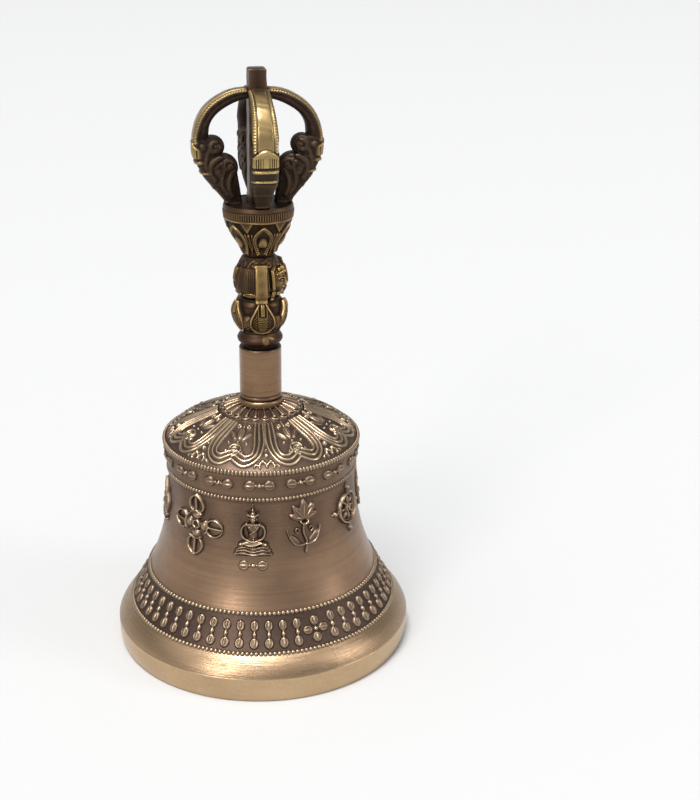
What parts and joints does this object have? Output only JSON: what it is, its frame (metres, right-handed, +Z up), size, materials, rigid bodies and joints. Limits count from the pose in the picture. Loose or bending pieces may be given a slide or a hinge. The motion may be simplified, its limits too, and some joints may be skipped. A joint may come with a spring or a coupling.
{
  "type": "hand bell",
  "caption": "Bronze ritual hand bell: flared bell with relief ornament, neck tube, carved grip, pronged crown and a clapper that swings in any direction.",
  "frame": {"origin": "on the bell's axis, in the plane of the rim that it stands on", "axes": "+Z up along the bell and handle; -Y is the bell's front, and the face on the handle looks 65 degrees round from it towards +X"},
  "size_m": [0.092, 0.092, 0.1784],
  "materials": {
    "bell_bronze": "satin turned bronze with a brown patina",
    "collar_bronze": "satin bronze, darkened",
    "handle_brass": "antiqued cast brass, dark in the hollows",
    "fixing_steel": "dull steel",
    "clapper_iron": "forged iron, oiled",
    "bob_brass": "turned brass with strike marks"
  },
  "bodies": {
    "bell": {"bell_body": "bell_bronze", "neck_seat_ring": "bell_bronze", "neck_tube": "bell_bronze", "handle_collar": "collar_bronze", "vase_knob": "handle_brass", "face_block": "handle_brass", "lotus_cup": "handle_brass", "centre_prong_rod": "handle_brass", "crown_washer": "fixing_steel", "crown_nut": "fixing_steel", "prong_front": "handle_brass", "prong_right": "handle_brass", "prong_back": "handle_brass", "prong_left": "handle_brass"},
    "stirrup": {"clapper_stirrup": "clapper_iron", "stirrup_pin": "fixing_steel"},
    "clapper": {"clapper_shank": "clapper_iron", "clapper_bob": "bob_brass"}
  },
  "joints": [
    {"name": "clapper_swivel", "type": "hinge", "parent": "bell", "child": "stirrup", "pos_m": [0, 0, 0.068], "axis": [0, 0, 1], "continuous": true},
    {"name": "clapper_swing", "type": "hinge", "parent": "stirrup", "child": "clapper", "pos_m": [0, 0, 0.05978], "axis": [1, 0, 0], "range_deg": [-34.4, 34.4]}
  ]
}
